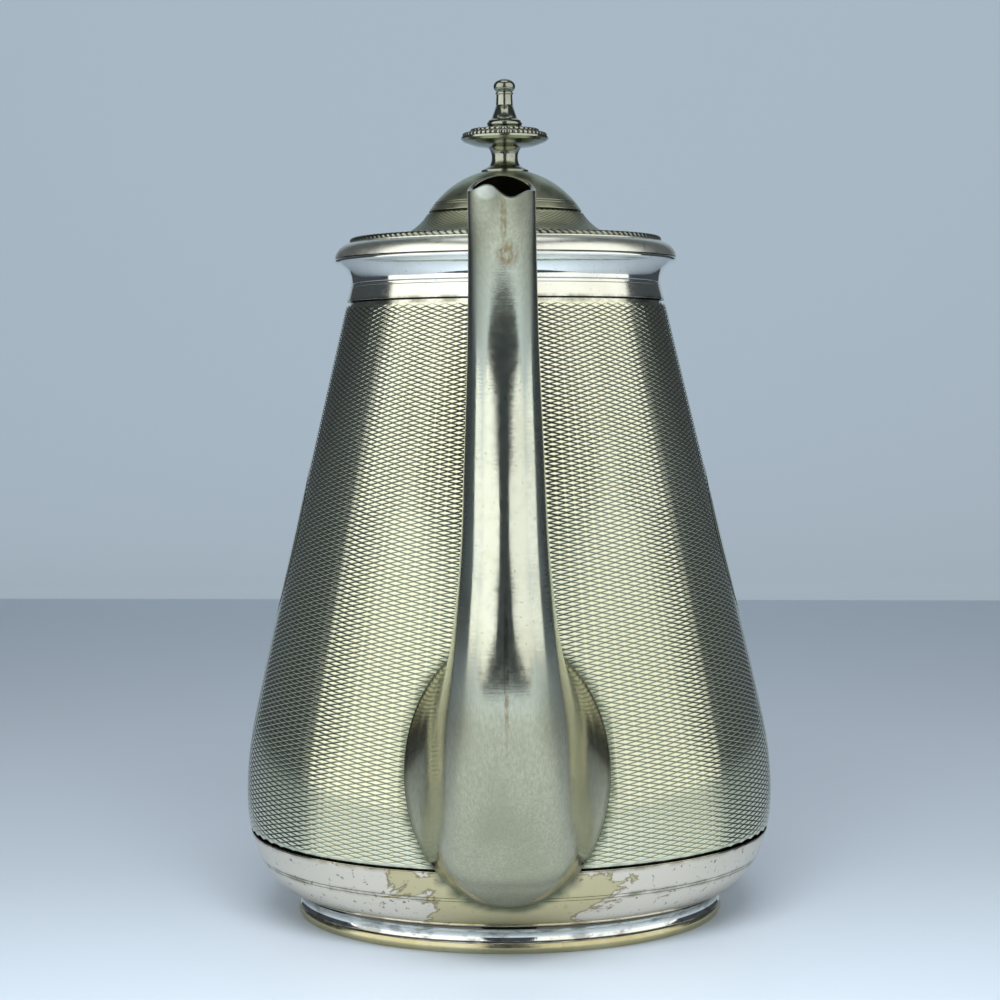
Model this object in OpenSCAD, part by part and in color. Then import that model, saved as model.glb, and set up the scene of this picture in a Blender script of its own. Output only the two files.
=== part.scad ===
// Silver-plated coffee pot. A tapered body stands on a low foot ring and carries a
// flared rim, a tall spout that rises from an oval base, a hinged domed lid with a
// turned finial, and a metal handle kept off the hot body by two insulators.
// Frame: +Z up, origin at the centre of the foot's resting plane. The spout points
// to -Y and the handle to +Y. All sizes are in millimetres.

/* [Body] */
// Widest outer radius of the body
body_r = 72.6; // [70:0.2:75]
// Height of the widest point
widest_z = 32.5; // [30:0.5:36]
// Radius of the shoulder curve between the widest point and the straight taper
shoulder_r = 104; // [90:1:120]
// Depth of the curve that tucks the body in towards the foot
tuck = 15; // [14.4:0.1:16]
// Radius of the body's bottom edge
base_r = 58.4; // [57.8:0.1:60]
// Height of the joint between the body and the rim collar
neck_z = 172.6; // [170:0.2:174]
// Outer radius of the neck at that joint
neck_r = 42.7; // [42.5:0.1:43.2]
// Thickness of the sheet metal
wall = 0.9; // [0.7:0.1:1.2]

/* [Foot] */
// Height of the foot ring
foot_h = 7; // [6.4:0.1:7.6]
// Outer radius of the wire round the foot's bottom edge
foot_r = 58.7; // [58.4:0.1:60]
// Height of that wire
foot_wire_h = 2.6; // [2:0.1:3]

/* [Strainer] */
// Radius of one strainer hole in the body wall behind the spout
strain_r = 1.25; // [1:0.05:1.4]
// Distance between neighbouring strainer holes
strain_pitch = 5.2; // [5:0.1:6]

/* [Lid] */
// Height of the lid's underside
lid_z = 180; // [179.9:0.1:180.5]
// Radius of the lid's edge
lid_r = 47; // [46.8:0.1:47.1]
// Height and width of the round moulding on that edge
edge_round = 4.1; // [3.9:0.1:4.2]
// Radius of the dome
dome_r = 24.8; // [24.6:0.1:25]
// Radius of the hollow curve round the dome
cove_r = 14; // [13.5:0.5:14.5]

/* [Hinge] */
// Distance of the hinge axis behind the pot's axis
hinge_y = 49.7; // [49.6:0.1:50]
// Height of the hinge axis
hinge_z = 180.6; // [180.5:0.1:180.8]
// Radius of the hinge barrel
barrel_r = 2.3; // [2.1:0.1:2.4]
// Radius of the hinge pin
pin_r = 1; // [0.8:0.1:1.2]
// Radial running clearance of the pin in the lid's knuckles
pin_gap = 0.05; // [0.03:0.01:0.08]

/* [Finial] */
// Height of the finial's tip
tip_z = 229.2; // [228.6:0.1:230]
// Radius of the beaded disc
disc_r = 12.1; // [11.5:0.1:12.6]
// Radius of the screwed stud
stud_r = 1.5; // [1.2:0.1:1.6]

/* [Handle] */
// Half width of the grip at its middle
grip_w = 6; // [5.6:0.1:6.4]
// Radius of the insulator discs
insulator_r = 6.7; // [6.4:0.1:7]
// Radius of the insulator tenons inside the sockets
tenon_r = 3.4; // [3:0.1:3.6]
// Radius of the pins through the tenons
cross_pin_r = 0.8; // [0.6:0.1:1]

/* [Hidden] */
silver = "#c9c7b8";
bright_silver = "#dcdcd8";
bone = "#e6dcc3";
$fn = 96;

// Point on a circle in the profile plane
function on_circle(c, r, a) = [c[0] + r * cos(a), c[1] + r * sin(a)];
// Arc of n + 1 points from angle a0 to a1
function arc(c, r, a0, a1, n) = [for (i = [0:n]) on_circle(c, r, a0 + (a1 - a0) * i / n)];
function reversed(p) = [for (i = [len(p) - 1:-1:0]) p[i]];
// Smooth curve through the listed points or numbers; t runs from 0 to the last index
function curve(p, t) =
    let(i = min(floor(t), len(p) - 2), f = t - i)
    let(a = p[max(i - 1, 0)], b = p[i], c = p[i + 1], d = p[min(i + 2, len(p) - 1)])
    (2 * b + (c - a) * f + (2 * a - 5 * b + 4 * c - d) * f * f + (3 * b - a - 3 * c + d) * f * f * f) / 2;
function unit(v) = v / norm(v);

// ---- body profile ----
// The taper is the straight line from the neck that touches the shoulder curve.
shoulder_c = [body_r - shoulder_r, widest_z];
to_neck = [neck_r, neck_z] - shoulder_c;
taper_a = atan2(to_neck[1], to_neck[0]) - acos(shoulder_r / norm(to_neck));
// The tuck is a quarter of an ellipse that ends on the foot ring.
tuck_end = acos(1 - (body_r - base_r) / tuck);
tuck_h = (widest_z - foot_h) / sin(tuck_end);
function tuck_point(a, t) =
    [body_r - tuck + (tuck - t) * cos(a), widest_z - (tuck_h - t) * sin(a)];
// Body outline from the bottom edge to the neck, moved inwards by t
function body_outline(t) = concat(
    [for (i = [14:-1:1]) tuck_point(tuck_end * i / 14, t)],
    arc(shoulder_c, shoulder_r - t, 0, taper_a, 8),
    [[neck_r - t / cos(taper_a), neck_z]]
);

// Outer radius of the body at height z
taper_z = widest_z + shoulder_r * sin(taper_a);
function body_radius(z) =
    z < widest_z ? body_r - tuck + tuck * sqrt(1 - pow((widest_z - z) / tuck_h, 2)) :
    z < taper_z ? shoulder_c[0] + sqrt(pow(shoulder_r, 2) - pow(z - widest_z, 2)) :
    neck_r + (neck_z - z) * tan(taper_a);

// ---- rim profile ----
flare_r = 5.7;
flare_c = [neck_r + flare_r, neck_z + 0.7];
lip_a = 111;
function collar_outline(t) = concat(
    [[neck_r - t, neck_z]],
    arc(flare_c, flare_r + t, 180, lip_a, 12)
);
// The wire is soldered on the collar's end face: its section is an arc between that face's corners.
wire_r = 0.62;
lip = (on_circle(flare_c, flare_r, lip_a) + on_circle(flare_c, flare_r + wall, lip_a)) / 2;
wire_c = lip + sqrt(pow(wire_r, 2) - pow(wall / 2, 2)) * [sin(lip_a), -cos(lip_a)];
wire_sweep = 180 - asin(wall / 2 / wire_r);
wire_outline = arc(wire_c, wire_r, lip_a - 90 - wire_sweep, lip_a - 90 + wire_sweep, 24);

// ---- lid profile ----
// The moulding is a little flatter than a quarter round: bow is how far its centre lies
// inwards and down from a quarter round's.
bow = 0.6;
edge_c = [lid_r - edge_round - bow, lid_z - bow];
edge_in = lid_r - edge_round;
function moulding(r) = arc(edge_c, r, asin(bow / r), acos(bow / r), 8);
edge_r = norm([edge_round + bow, bow]);
seat_z = lid_z + edge_round + 0.2;
seat_in = 40.9;
dome_c = [0, lid_z - 0.3];
cove_z = lid_z + 5.6 + cove_r;
cove_c = [sqrt(pow(dome_r + cove_r, 2) - pow(cove_z - dome_c[1], 2)), cove_z];
meet_a = atan2(cove_z - dome_c[1], cove_c[0]);
function top_outline(t) = concat(
    arc(cove_c, cove_r + t, 270, 180 + meet_a, 10),
    arc(dome_c, dome_r - t, meet_a, 90, 20)
);
lid_outer = concat(
    moulding(edge_r),
    [[edge_in, seat_z], [seat_in, seat_z], [seat_in, seat_z + 0.8]],
    top_outline(0)
);
lid_inner = concat(
    moulding(edge_r - wall),
    [[edge_in - 1.2, seat_z - wall], [seat_in - 1, seat_z - 0.1]],
    top_outline(wall)
);

// ---- spout ----
// The foot of the spout is an oval flange on the wall: half width, half height, centre height.
flange = [26, 34.2, 48.2];
flange_t = 0.8;
// Stations from the flange to the mouth: [y, z] of the front line, [y, z] of the back
// line, the half width across, and how round the front is (1 is an ellipse).
spout_front = [
    [-76.8, 20.4], [-85, 27.6], [-98, 45.5], [-105.3, 68],
    [-107.6, 98], [-109.4, 128], [-113.5, 155], [-121, 176], [-129, 188.6]
];
spout_back = [
    [-67, 82.5], [-70.3, 85.6], [-74.8, 90.3], [-78.6, 98.5],
    [-83, 113], [-88, 131], [-95.3, 154.5], [-104.5, 175.5], [-115, 192.8]
];
spout_half = [22.3, 19, 15.9, 13, 10.7, 9.5, 8.4, 7.9, 7.7];
spout_round = [0.55, 0.36, 0.4, 0.65, 0.95, 1, 1, 1, 1];
spout_sides = 40;
spout_steps = 36;
spout_wall = 1.1;

// Ring of the flange's outline, inset by g, lying on the wall and raised off it by h
function flange_ring(g, h) =
    [for (j = [0:spout_sides - 1])
        let(a = 360 * j / spout_sides)
        let(x = (flange[0] - g) * cos(a), z = flange[2] + (flange[1] - g) * sin(a))
        [x, -sqrt(pow(body_radius(z) + h, 2) - x * x), z]];

// Ring of the spout at station i, inset by g
function station_ring(i, g) =
    let(f = spout_front[i], b = spout_back[i], w = spout_half[i] - g)
    let(c = (f + b) / 2, h = (b - f) / 2, k = 1 - g / norm(h))
    [for (j = [0:spout_sides - 1])
        let(a = 360 * j / spout_sides, power = sin(a) < 0 ? spout_round[i] : 1)
        [w * sign(cos(a)) * pow(abs(cos(a)), power), c[0] + k * h[0] * sin(a),
         c[1] + k * h[1] * sin(a)]];

// Smooth rings from the flange's face to the mouth, inset by g
function spout_rings(g) =
    let(keys = concat([flange_ring(g + 0.4, flange_t - g)],
        [for (i = [0:len(spout_front) - 1]) station_ring(i, g)]))
    [for (i = [0:spout_steps]) curve(keys, (len(keys) - 1) * i / spout_steps)];

// ---- handle ----
// Centre of each insulator in the middle plane, and its slope going outwards
upper_at = [60.5, 163.4];
upper_slope = 30;
lower_at = [80.3, 66.2];
lower_slope = 42;
insulator_t = 3;
tenon_l = 7;
pin_back = 5;
function out_dir(a) = [cos(a), sin(a)];
upper_root = [44, 153.6];
lower_root = [66, 54.4];
grip_line = [
    upper_at + insulator_t / 2 * out_dir(upper_slope),
    upper_at + 9 * out_dir(upper_slope), [79, 170], [90, 166.8], [99, 157], [103.4, 141], [102.6, 121],
    [98.4, 101], [91.6, 83],
    lower_at + 8 * out_dir(lower_slope),
    lower_at + insulator_t / 2 * out_dir(lower_slope)
];
grip_half = [5.6, 5.4, 5.7, 6, 6, 6, 6, 5.9, 5.6, 5.4, 5.6] * grip_w / 6;
upper_line = [
    upper_root, [48.6, 156],
    upper_at - 8 * out_dir(upper_slope),
    upper_at - insulator_t / 2 * out_dir(upper_slope)
];
lower_line = [
    lower_root, [70, 57.4],
    lower_at - 8 * out_dir(lower_slope),
    lower_at - insulator_t / 2 * out_dir(lower_slope)
];
socket_half = [9, 6.6, 5.4, 5.6];

// Rings along a line in the middle plane, square to it: half gives the half width
// across it at each of its points and depth the ratio of the rings' other half width
nudge = 0.002;
function sweep_rings(line, half, depth, steps, sides) =
    [for (i = [0:steps])
        let(t = (len(line) - 1) * i / steps, p = curve(line, t))
        let(dt = curve(line, min(t + nudge, len(line) - 1)) - curve(line, max(t - nudge, 0)))
        let(u = unit(dt), w = curve(half, t))
        [for (j = [0:sides - 1])
            let(a = 360 * j / sides, e = depth * w * sin(a))
            [w * cos(a), p[0] + u[1] * e, p[1] - u[0] * e]]];

// ---- shared shapes ----
// Solid whose skin runs through rings of points; closed rings need no end caps
module loft(rings, closed = false) {
    n = len(rings[0]);
    m = len(rings);
    last = closed ? m - 1 : m - 2;
    sides = [for (i = [0:last], j = [0:n - 1])
        let(k = (j + 1) % n, a = i * n, b = ((i + 1) % m) * n)
        each [[a + j, b + k, a + k], [a + j, b + j, b + k]]];
    caps = closed ? [] : [[for (j = [0:n - 1]) j], [for (j = [n - 1:-1:0]) (m - 1) * n + j]];
    polyhedron(points = [for (ring = rings) each ring], faces = concat(sides, caps));
}

// Solid of revolution between an outer and an inner outline
module turned_shell(outer, inner) {
    rotate_extrude() polygon(concat(outer, reversed(inner)));
}

// Everything inside the pot's outer surface, up to the rim
module pot_core() {
    rotate_extrude()
        polygon(concat([[0, foot_h]], body_outline(0), collar_outline(0), [[0, lip[1] - 0.4]]));
}

// Everything inside the lid's outer surface
module lid_core() {
    rotate_extrude() polygon(concat([[0, lid_z]], lid_outer));
}

// Cylinder along X between two places
module rod_x(r, x0, x1) {
    translate([x0, 0, 0]) rotate([0, 90, 0]) cylinder(r = r, h = x1 - x0);
}

// Outline in the YZ plane, extruded along X between two places
module plate_x(points, x0, x1) {
    translate([x0, 0, 0]) rotate([90, 0, 90]) linear_extrude(height = x1 - x0) polygon(points);
}

module at_hinge() {
    translate([0, hinge_y, hinge_z]) children();
}

// Places children on a handle joint, with their Z axis pointing outwards along it
module at_joint(at, slope) {
    translate([0, at[0], at[1]]) rotate([slope - 90, 0, 0]) children();
}

// ---- body, foot and rim ----
module body_shell() {
    color(silver) difference() {
        turned_shell(body_outline(0), body_outline(wall));
        strainer_holes();
    }
}

// Rows of holes in a lozenge-shaped field behind the spout
module strainer_holes() {
    row_h = strain_pitch * sin(60);
    for (row = [-4:4]) {
        count = 7 - abs(row);
        for (i = [0:count - 1])
            translate([(i - (count - 1) / 2) * strain_pitch, -60, 48 + row * row_h])
                rotate([90, 0, 0]) cylinder(r = strain_r, h = 16);
    }
}

module base_plate() {
    rise = 3;
    color(silver) rotate_extrude() polygon([
        [0, foot_h + rise], [30, foot_h + rise - 0.6], [50, foot_h + 0.6],
        [53, foot_h], [base_r - 0.1, foot_h], [base_r - 0.1, foot_h + wall],
        [53, foot_h + wall], [50, foot_h + wall + 0.6], [30, foot_h + wall + rise - 0.6],
        [0, foot_h + wall + rise]
    ]);
}

module foot_ring() {
    inner = foot_r - 2.7;
    band_r = (foot_h - 1 - foot_wire_h) / 2;
    color(bright_silver) rotate_extrude() polygon(concat(
        [[inner - 2.5, foot_h - wall], [inner - 2.5, foot_h], [foot_r + 0.5, foot_h],
         [foot_r + 0.6, foot_h - 0.4], [foot_r - 0.2, foot_h - 1]],
        arc([foot_r + 0.9, foot_wire_h + band_r], 1.3 * band_r, 130, 230, 8),
        [[foot_r - 0.4, foot_wire_h], [foot_r - 1.6, foot_wire_h], [foot_r - 1.6, 0], [inner + 0.3, 0],
         [inner + 0.3, foot_h - wall]]
    ));
}

module foot_wire() {
    crown = foot_wire_h * 0.9;
    color(silver) rotate_extrude() polygon(concat(
        [[foot_r - 1.6, 0]],
        arc([foot_r - crown, foot_wire_h / 2], crown, -32, 32, 8),
        [[foot_r - 0.4, foot_wire_h], [foot_r - 1.6, foot_wire_h]]
    ));
}

module rim_collar() {
    color(bright_silver) turned_shell(collar_outline(0), collar_outline(wall));
}

module rim_wire() {
    color(bright_silver) rotate_extrude() polygon(wire_outline);
}

// ---- spout ----
module spout() {
    color(silver) difference() {
        loft(concat([flange_ring(0, -2), flange_ring(0, 0.2)], spout_rings(0),
            reversed(spout_rings(spout_wall)), [flange_ring(spout_wall, -2)]), closed = true);
        pot_core();
    }
}

// ---- handle ----
module socket(line, at, slope) {
    color(silver) difference() {
        loft(sweep_rings(line, socket_half, 1, 14, 32));
        pot_core();
        at_joint(at, slope) translate([0, 0, -insulator_t / 2 - tenon_l]) cylinder(r = tenon_r, h = 20);
        cross_pins(at, slope, [-1]);
    }
}

module upper_handle_socket() {
    socket(upper_line, upper_at, upper_slope);
}

module lower_handle_socket() {
    socket(lower_line, lower_at, lower_slope);
}

module handle_grip() {
    color(silver) difference() {
        loft(sweep_rings(grip_line, grip_half, 0.84, 56, 32));
        grip_sockets(upper_at, upper_slope);
        grip_sockets(lower_at, lower_slope);
    }
}

// Bore and pin hole in one end of the grip
module grip_sockets(at, slope) {
    at_joint(at, slope) cylinder(r = tenon_r, h = insulator_t / 2 + tenon_l);
    cross_pins(at, slope, [1]);
}

module insulator(at, slope) {
    color(bone) difference() {
        at_joint(at, slope) {
            translate([0, 0, -insulator_t / 2]) cylinder(r = insulator_r, h = insulator_t);
            translate([0, 0, -insulator_t / 2 - tenon_l]) cylinder(r = tenon_r, h = insulator_t + 2 * tenon_l);
        }
        cross_pins(at, slope, [-1, 1]);
    }
}

module upper_insulator() {
    insulator(upper_at, upper_slope);
}

module lower_insulator() {
    insulator(lower_at, lower_slope);
}

// Pins across the joint, on the pot's side (-1) or the grip's side (1) of it
module cross_pins(at, slope, sides) {
    for (side = sides)
        at_joint(at, slope) translate([0, 0, side * pin_back]) rod_x(cross_pin_r, -5, 5);
}

module upper_handle_pins() {
    color(silver) cross_pins(upper_at, upper_slope, [-1, 1]);
}

module lower_handle_pins() {
    color(silver) cross_pins(lower_at, lower_slope, [-1, 1]);
}

// ---- hinge ----
knuckle_gap = 0.3;
body_knuckles = [[-9, -5.6], [-1.7, 1.7], [5.6, 9]];
lid_knuckles = [
    [body_knuckles[0][1] + knuckle_gap, body_knuckles[1][0] - knuckle_gap],
    [body_knuckles[1][1] + knuckle_gap, body_knuckles[2][0] - knuckle_gap]
];
clear_r = barrel_r + 0.35;

module knuckles(spans, r) {
    for (span = spans) at_hinge() rod_x(r, span[0], span[1]);
}

module hinge_body_leaf() {
    leaf = [[40, 170.2], [44.2, 170.2], [hinge_y + barrel_r, hinge_z - 1], [hinge_y, hinge_z],
            [hinge_y - barrel_r + 0.4, hinge_z - 1.4], [46.8, lid_z - 2], [40, lid_z - 2]];
    color(bright_silver) difference() {
        union() {
            knuckles(body_knuckles, barrel_r);
            difference() {
                plate_x(leaf, body_knuckles[0][0], body_knuckles[2][1]);
                pot_core();
                rim_wire();
                for (span = lid_knuckles)
                    at_hinge() rod_x(clear_r, span[0] - knuckle_gap, span[1] + knuckle_gap);
            }
        }
        knuckles([[-10, 10]], pin_r);
    }
}

module hinge_lid_leaf() {
    leaf = [[43.5, seat_z - 0.15], [45.6, lid_z + 3.7], [hinge_y, hinge_z + barrel_r],
            [hinge_y, hinge_z], [hinge_y - barrel_r + 0.1, lid_z + 0.35], [43.5, lid_z + 0.35]];
    color(bright_silver) difference() {
        union() {
            knuckles(lid_knuckles, barrel_r);
            difference() {
                plate_x(leaf, lid_knuckles[0][0], lid_knuckles[1][1]);
                lid_core();
                at_hinge() rod_x(clear_r, body_knuckles[1][0] - knuckle_gap, body_knuckles[1][1] + knuckle_gap);
            }
        }
        knuckles([[-10, 10]], pin_r + pin_gap);
    }
}

module hinge_pin() {
    color(bright_silver) knuckles([[body_knuckles[0][0] - 0.3, body_knuckles[2][1] + 0.3]], pin_r);
}

// ---- lid ----
module lid_cover() {
    color(silver) difference() {
        turned_shell(lid_outer, lid_inner);
        translate([0, 0, lid_z]) cylinder(r = stud_r + 0.15, h = 40);
    }
}

module lid_rope_border() {
    rope_r = 0.85;
    color(bright_silver) difference() {
        rotate_extrude() translate([edge_in - rope_r, seat_z + 0.5]) circle(r = rope_r, $fn = 32);
        lid_core();
    }
}

module lid_bezel() {
    color(silver) intersection() {
        rotate_extrude() translate([seat_in - 0.6, lid_z - 3.2]) square([wall, 20]);
        rotate_extrude() polygon(concat([[0, lid_z - 10], [45, lid_z - 10]], lid_inner));
    }
}

// ---- finial ----
dome_top = dome_c[1] + dome_r;
disc_z = tip_z - 18.8;
top_z = tip_z - 13;
washer_r = 5;
washer_t = 1;
nut_t = 2.8;
// The washer's rim touches the dome's inside
washer_top = dome_c[1] + sqrt(pow(dome_r - wall, 2) - pow(washer_r, 2)) - 0.05;
nut_z = washer_top - washer_t - nut_t;

module finial_spool() {
    color(silver) difference() {
        rotate_extrude() polygon(concat(
            [[stud_r, dome_top - 2.5], [6.5, dome_top - 2.5], [6.5, dome_top - 0.4],
             [5.4, dome_top + 0.2]],
            arc([7.8, disc_z - 2.7], 4.2, 216, 142, 10),
            [[4.6, disc_z], [stud_r, disc_z]]
        ));
        lid_core();
    }
}

module finial_disc() {
    bead_r = 0.65;
    small_bead_r = 0.55;
    color(silver) difference() {
        union() {
            rotate_extrude() polygon([
                [0, disc_z], [5, disc_z], [disc_r - 4, disc_z + 0.5], [disc_r - 0.8, disc_z + 1.6],
                [disc_r, disc_z + 2.3], [disc_r - 0.1, disc_z + 2.8], [disc_r - 1.4, disc_z + 3.3],
                [disc_r - 2.1, disc_z + 3.3], [disc_r - 2.6, disc_z + 4.2], [disc_r - 3.6, disc_z + 4.8],
                [5.4, top_z - 0.2], [4.6, top_z], [0, top_z]
            ]);
            rotate_extrude() translate([disc_r - 1.1, disc_z + 3.35]) circle(r = bead_r, $fn = 32);
            rotate_extrude() translate([disc_r - 3.1, disc_z + 4.5]) circle(r = small_bead_r, $fn = 32);
        }
        translate([0, 0, disc_z - 1]) cylinder(r = stud_r, h = 10);
    }
}

module finial_top() {
    ball = [3, 2.1];
    ball_z = tip_z - ball[1];
    color(silver) difference() {
        rotate_extrude() polygon(concat(
            [[0, top_z], [4.2, top_z]],
            arc([4.2, top_z + 0.65], 0.65, -90, 90, 16),
            arc([6.2, top_z + 4.9], 3.8, 245, 182, 10),
            [[2.2, ball_z - 2.3], [2.45, ball_z - 2.1], [2.45, ball_z - 1.75], [2.15, ball_z - 1.6]],
            [for (a = [-40:10:90]) [ball[0] * cos(a), ball_z + ball[1] * sin(a)]]
        ));
        translate([0, 0, top_z - 1]) cylinder(r = stud_r, h = 4);
    }
}

module finial_stud() {
    low_end = nut_z - 0.8;
    color(silver) translate([0, 0, low_end]) cylinder(r = stud_r, h = top_z + 3 - low_end);
}

module finial_washer() {
    color(silver) translate([0, 0, washer_top - washer_t]) difference() {
        cylinder(r = washer_r, h = washer_t);
        translate([0, 0, -1]) cylinder(r = stud_r, h = washer_t + 2);
    }
}

module finial_nut() {
    color(silver) translate([0, 0, nut_z]) difference() {
        cylinder(r = 3.6, h = nut_t, $fn = 6);
        translate([0, 0, -1]) cylinder(r = stud_r, h = nut_t + 2);
    }
}

body_shell();
base_plate();
foot_ring();
foot_wire();
rim_collar();
rim_wire();
spout();
upper_handle_socket();
upper_insulator();
handle_grip();
lower_insulator();
lower_handle_socket();
upper_handle_pins();
lower_handle_pins();
hinge_body_leaf();
hinge_pin();
hinge_lid_leaf();
lid_cover();
lid_rope_border();
lid_bezel();
finial_spool();
finial_disc();
finial_top();
finial_stud();
finial_washer();
finial_nut();
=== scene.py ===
"""Looks of the silver coffee pot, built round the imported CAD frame. All sizes are in metres.

The pot stands on its foot with +Z up, its spout towards -Y and its handle towards +Y. Turned pieces are
read from the CAD nodes as sections and turned again, with their engraved and beaded detail. The spout and
the handle are swept again from the CAD's own stations.
"""
import math

import bmesh
import bpy
import numpy as np
from mathutils import Matrix, Vector


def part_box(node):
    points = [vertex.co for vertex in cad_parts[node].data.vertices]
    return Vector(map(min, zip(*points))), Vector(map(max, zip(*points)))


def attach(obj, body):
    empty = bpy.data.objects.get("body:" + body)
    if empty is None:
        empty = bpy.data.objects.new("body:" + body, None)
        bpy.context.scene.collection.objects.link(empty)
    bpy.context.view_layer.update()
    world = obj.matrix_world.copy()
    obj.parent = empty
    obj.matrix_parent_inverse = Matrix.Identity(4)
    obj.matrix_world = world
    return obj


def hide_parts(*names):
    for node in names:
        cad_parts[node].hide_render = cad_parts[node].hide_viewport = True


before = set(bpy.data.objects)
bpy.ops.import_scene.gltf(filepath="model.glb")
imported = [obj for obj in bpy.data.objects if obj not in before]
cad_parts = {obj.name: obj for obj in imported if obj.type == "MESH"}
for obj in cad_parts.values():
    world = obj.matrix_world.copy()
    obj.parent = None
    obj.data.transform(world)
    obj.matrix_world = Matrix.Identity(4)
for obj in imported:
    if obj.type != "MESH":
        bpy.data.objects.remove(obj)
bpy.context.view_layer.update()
MM = 0.001
TAU = 2 * math.pi


# ---------------------------------------------------------------- meshes

def new_piece(name, verts, faces, material, body, replaces=(), slot=None, grime_and_shade=None, sharp=35,
              place=None):
    """Piece from arrays of points and faces, with its material, shading and place in the frame."""
    mesh = bpy.data.meshes.new(name)
    mesh.from_pydata(np.asarray(verts).tolist(), [], [[int(i) for i in f] for f in faces])
    if grime_and_shade is not None:
        layer = mesh.attributes.new("grime_and_shade", "FLOAT", "POINT")
        layer.data.foreach_set("value", np.asarray(grime_and_shade, np.float32))
    bm = bmesh.new()
    bm.from_mesh(mesh)
    bmesh.ops.recalc_face_normals(bm, faces=bm.faces)
    bm.to_mesh(mesh)
    bm.free()
    if place is not None:
        mesh.transform(place)
    mesh.polygons.foreach_set("use_smooth", [True] * len(mesh.polygons))
    mesh.set_sharp_from_angle(angle=math.radians(sharp))
    mesh.materials.append(material)
    obj = bpy.data.objects.new(name, mesh)
    bpy.context.scene.collection.objects.link(obj)
    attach(obj, body)
    if replaces:
        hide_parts(*replaces)
    return obj


def grid_faces(rows, columns, closed=False):
    """Quads between rows of points, each row a closed ring; closed also joins the last row to the first."""
    j = np.arange(columns)
    k = (j + 1) % columns
    faces = []
    for i in range(rows if closed else rows - 1):
        a, b = i * columns, ((i + 1) % rows) * columns
        faces.append(np.stack([a + j, a + k, b + k, b + j], axis=-1))
    return np.concatenate(faces)


def ripple(points, scale, seed):
    """Smooth irregular value from -1 to 1 at each point: the mean of a few slanted waves."""
    draw = np.random.default_rng(seed)
    total = np.zeros(points.shape[:-1])
    for _ in range(6):
        direction = draw.normal(size=3)
        direction /= np.linalg.norm(direction)
        total += np.sin(points @ direction * TAU / scale * draw.uniform(0.6, 1.6) + draw.uniform(0, TAU))
    return total / 6


def bump_at(x, centre, width):
    """Bell curve of height 1."""
    return np.exp(-((x - centre) / width) ** 2)


def smooth_step(x, a, b):
    """0 below a and 1 above b, with a smooth rise between them."""
    t = np.clip((x - a) / (b - a), 0, 1)
    return t * t * (3 - 2 * t)


def spline(points, t):
    """Smooth curve through points; t runs from 0 to the last index."""
    p = np.asarray(points, float)
    t = np.atleast_1d(t)
    i = np.minimum(t.astype(int), len(p) - 2)
    f = (t - i).reshape(-1, *[1] * (p.ndim - 1))
    a, b, c, d = p[np.maximum(i - 1, 0)], p[i], p[i + 1], p[np.minimum(i + 2, len(p) - 1)]
    return (2 * b + (c - a) * f + (2 * a - 5 * b + 4 * c - d) * f**2
            + (3 * b - a - 3 * c + d) * f**3) / 2


# ---------------------------------------------------------------- sections of turned nodes

def section(node):
    """Closed outline (r, z) of a turned CAD node, from its cut at y = 0 on the +X side."""
    bm = bmesh.new()
    bm.from_mesh(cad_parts[node].data)
    bmesh.ops.remove_doubles(bm, verts=bm.verts, dist=1e-6)
    everything = bm.verts[:] + bm.edges[:] + bm.faces[:]
    cut = bmesh.ops.bisect_plane(bm, geom=everything, dist=1e-7, plane_co=(0, 0, 0), plane_no=(0, 1, 0))
    links = {}
    for edge in cut["geom_cut"]:
        if isinstance(edge, bmesh.types.BMEdge) and edge.verts[0].co.x + edge.verts[1].co.x > 1e-5:
            a, b = edge.verts
            links.setdefault(a, []).append(b)
            links.setdefault(b, []).append(a)
    ends = [v for v, others in links.items() if len(others) == 1]
    order = [ends[0] if ends else next(iter(links))]
    seen = set(order)
    while True:
        ahead = [v for v in links[order[-1]] if v not in seen]
        if not ahead:
            break
        order.append(ahead[0])
        seen.add(ahead[0])
    points = np.array([(max(v.co.x, 0), v.co.z) for v in order])
    bm.free()
    return points


def without_straight_points(points):
    """The closed outline without points that lie between their neighbours on a straight line."""
    before, after = np.roll(points, 1, axis=0), np.roll(points, -1, axis=0)
    along = after - before
    off = along[:, 0] * (points - before)[:, 1] - along[:, 1] * (points - before)[:, 0]
    return points[np.abs(off) / (np.linalg.norm(along, axis=1) + 1e-12) > 1.5e-6]


def shell_sides(node):
    """Outer side of a turned shell from bottom to top, and its inner side from top to bottom."""
    points = without_straight_points(section(node))
    first = np.argmax(-points[:, 1] * 1000 + points[:, 0])
    points = np.roll(points, -first, axis=0)
    last = np.argmax(points[:, 1] * 1000 + points[:, 0])
    one, other = points[:last + 1], np.vstack([points[last:], points[:1]])[::-1]
    area = [np.sum((p[1:, 0] + p[:-1, 0]) / 2 * np.diff(p[:, 1])) for p in (one, other)]
    outer, inner = (one, other) if area[0] > area[1] else (other, one)
    return outer, inner[::-1]


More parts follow.
